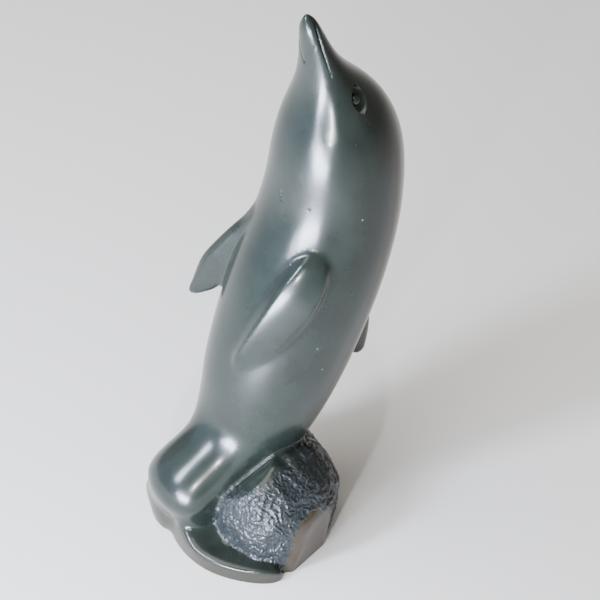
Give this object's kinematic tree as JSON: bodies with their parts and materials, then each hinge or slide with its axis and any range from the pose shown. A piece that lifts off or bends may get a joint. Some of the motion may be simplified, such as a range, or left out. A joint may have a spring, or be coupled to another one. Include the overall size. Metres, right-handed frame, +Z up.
{
  "type": "stone dolphin sculpture",
  "caption": "Leaping dolphin carved from one block of dark polished stone, its flukes curled round a rough rock; a table ornament that stands on its flat underside.",
  "frame": {"origin": "on the ground, under the middle of the carving's box", "axes": "+Z up to the snout, -Y out of the belly, +X out of the dolphin's left side"},
  "size_m": [0.1076, 0.1414, 0.29],
  "materials": {
    "stone": "polished all over the dolphin and the flukes, rough chiselled on the rock, with one polished facet low on the rock's left side"
  },
  "bodies": {
    "root": {"dolphin_on_rock": "stone"}
  },
  "joints": []
}
